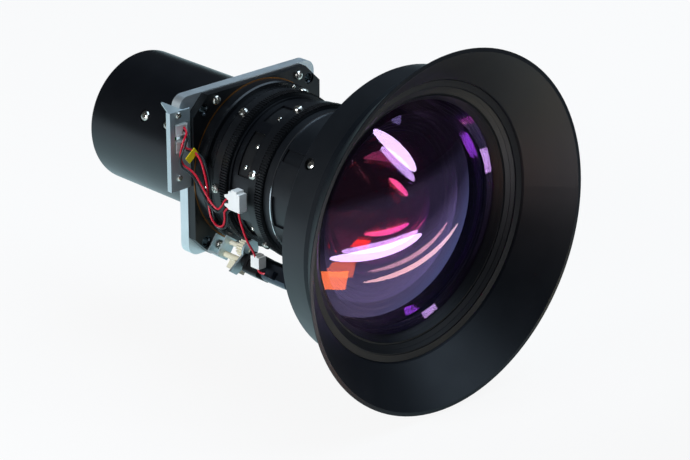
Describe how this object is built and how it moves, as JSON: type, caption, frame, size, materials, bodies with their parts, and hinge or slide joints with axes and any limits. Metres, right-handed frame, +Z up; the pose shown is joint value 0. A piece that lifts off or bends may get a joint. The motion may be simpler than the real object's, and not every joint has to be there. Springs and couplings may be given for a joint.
{
  "type": "projection lens",
  "caption": "Motorised wide-angle projection lens: square mounting plate, rear barrel, zoom and focus gear rings with motor drives, drum housing and flared front hood.",
  "frame": {"origin": "centre of the rear face of the square base plate, on the optical axis", "axes": "+X forward along the optical axis, out of the hood; +Z up; +Y completes a right-handed frame"},
  "size_m": [0.2674, 0.212, 0.212],
  "materials": {
    "alloy_plate": "milled, satin",
    "black_plate": "black anodised, satin",
    "steel_insert": "turned",
    "steel_screw": "bright zinc plated",
    "flange_black": "black anodised, turned",
    "barrel_black": "black anodised",
    "cell_black": "matt black anodised",
    "optical_glass": "polished, coated",
    "coated_glass": "polished, multi-coated",
    "cover_black": "moulded, matt",
    "ring_black": "black anodised, satin",
    "cam_alloy": "hard anodised",
    "follower_brass": "turned",
    "copper_shim": "rolled",
    "polished_trim": "polished",
    "front_barrel_grey": "dark grey, satin",
    "housing_grey": "dark grey, satin",
    "baffle_black": "matt black",
    "hood_black": "moulded, satin",
    "zinc_sheet": "zinc plated sheet",
    "board_green": "solder resist",
    "white_nylon": "moulded nylon",
    "cream_nylon": "moulded nylon",
    "cream_acetal": "moulded acetal",
    "gearbox_black": "moulded",
    "motor_can": "drawn steel, dark zinc",
    "red_insulation": "smooth insulation",
    "dark_insulation": "smooth insulation",
    "yellow_tag": "film, bare"
  },
  "bodies": {
    "lens_body": {"base_plate": "alloy_plate", "front_plate": "black_plate", "corner_inserts": "steel_insert", "plate_screws": "steel_screw", "flange_ring": "flange_black", "rear_barrel": "barrel_black", "rear_barrel_screws": "steel_screw", "rear_retaining_ring": "cell_black", "rear_element": "optical_glass", "relay_cell": "cell_black", "relay_lens": "optical_glass", "guide_barrel": "barrel_black", "window_covers": "cover_black", "cover_screws": "steel_screw", "trim_ring": "polished_trim", "front_barrel": "front_barrel_grey", "inner_cone_ring": "cell_black", "second_element": "optical_glass", "front_housing": "housing_grey", "housing_screws": "steel_screw", "front_element": "coated_glass", "front_retaining_ring": "cell_black", "baffle_ring": "baffle_black", "hood": "hood_black", "board_bracket": "zinc_sheet", "bracket_screws": "steel_screw", "circuit_board": "board_green", "board_sockets": "white_nylon", "drive_feet": "zinc_sheet", "spacer_rods": "cream_nylon", "zoom_drive_plate": "zinc_sheet", "zoom_gearbox": "gearbox_black", "zoom_motor": "motor_can", "limit_switch": "cream_nylon", "focus_drive_plate": "zinc_sheet", "focus_gearbox": "gearbox_black", "focus_motor": "motor_can", "inline_connector": "white_nylon", "motor_plug": "white_nylon", "board_lead_red": "red_insulation", "board_lead_black": "dark_insulation", "return_lead_red": "red_insulation", "return_lead_black": "dark_insulation", "motor_leads": "red_insulation", "lead_tag": "yellow_tag", "shim_ring": "copper_shim"},
    "zoom_ring_set": {"zoom_ring": "ring_black", "zoom_ring_screws": "steel_screw", "zoom_cam_sleeve": "cam_alloy"},
    "zoom_group": {"zoom_cell": "cell_black", "zoom_lens": "optical_glass", "zoom_followers": "follower_brass"},
    "focus_ring_set": {"focus_ring": "ring_black", "focus_ring_screws": "steel_screw", "focus_cam_sleeve": "cam_alloy"},
    "focus_group": {"focus_cell": "cell_black", "focus_lens": "optical_glass", "focus_followers": "follower_brass"},
    "zoom_pinion_body": {"zoom_pinion": "cream_acetal"},
    "focus_pinion_body": {"focus_pinion": "cream_acetal"}
  },
  "joints": [
    {"name": "zoom_turn", "type": "hinge", "parent": "lens_body", "child": "zoom_ring_set", "pos_m": [0.031, 0, 0], "axis": [1, 0, 0], "range_deg": [-30, 30]},
    {"name": "zoom_pinion_spin", "type": "hinge", "parent": "lens_body", "child": "zoom_pinion_body", "pos_m": [0.034, -0.03026, -0.04165], "axis": [1, 0, 0], "range_deg": [-300.5, 300.5]},
    {"name": "zoom_slide", "type": "slide", "parent": "lens_body", "child": "zoom_group", "axis": [1, 0, 0], "range_m": [-0.005, 0.005]},
    {"name": "focus_turn", "type": "hinge", "parent": "lens_body", "child": "focus_ring_set", "pos_m": [0.061, 0, 0], "axis": [1, 0, 0], "range_deg": [-30, 30]},
    {"name": "focus_pinion_spin", "type": "hinge", "parent": "lens_body", "child": "focus_pinion_body", "pos_m": [0.064, 0.03026, -0.04165], "axis": [1, 0, 0], "range_deg": [-300.5, 300.5]},
    {"name": "focus_slide", "type": "slide", "parent": "lens_body", "child": "focus_group", "axis": [1, 0, 0], "range_m": [-0.004, 0.004]}
  ],
  "couplings": [
    {"joint": "zoom_pinion_spin", "follows": "zoom_turn", "ratio": -10},
    {"joint": "zoom_slide", "follows": "zoom_turn", "m_per_rad": 0.009549},
    {"joint": "focus_pinion_spin", "follows": "focus_turn", "ratio": -10},
    {"joint": "focus_slide", "follows": "focus_turn", "m_per_rad": 0.007639}
  ]
}
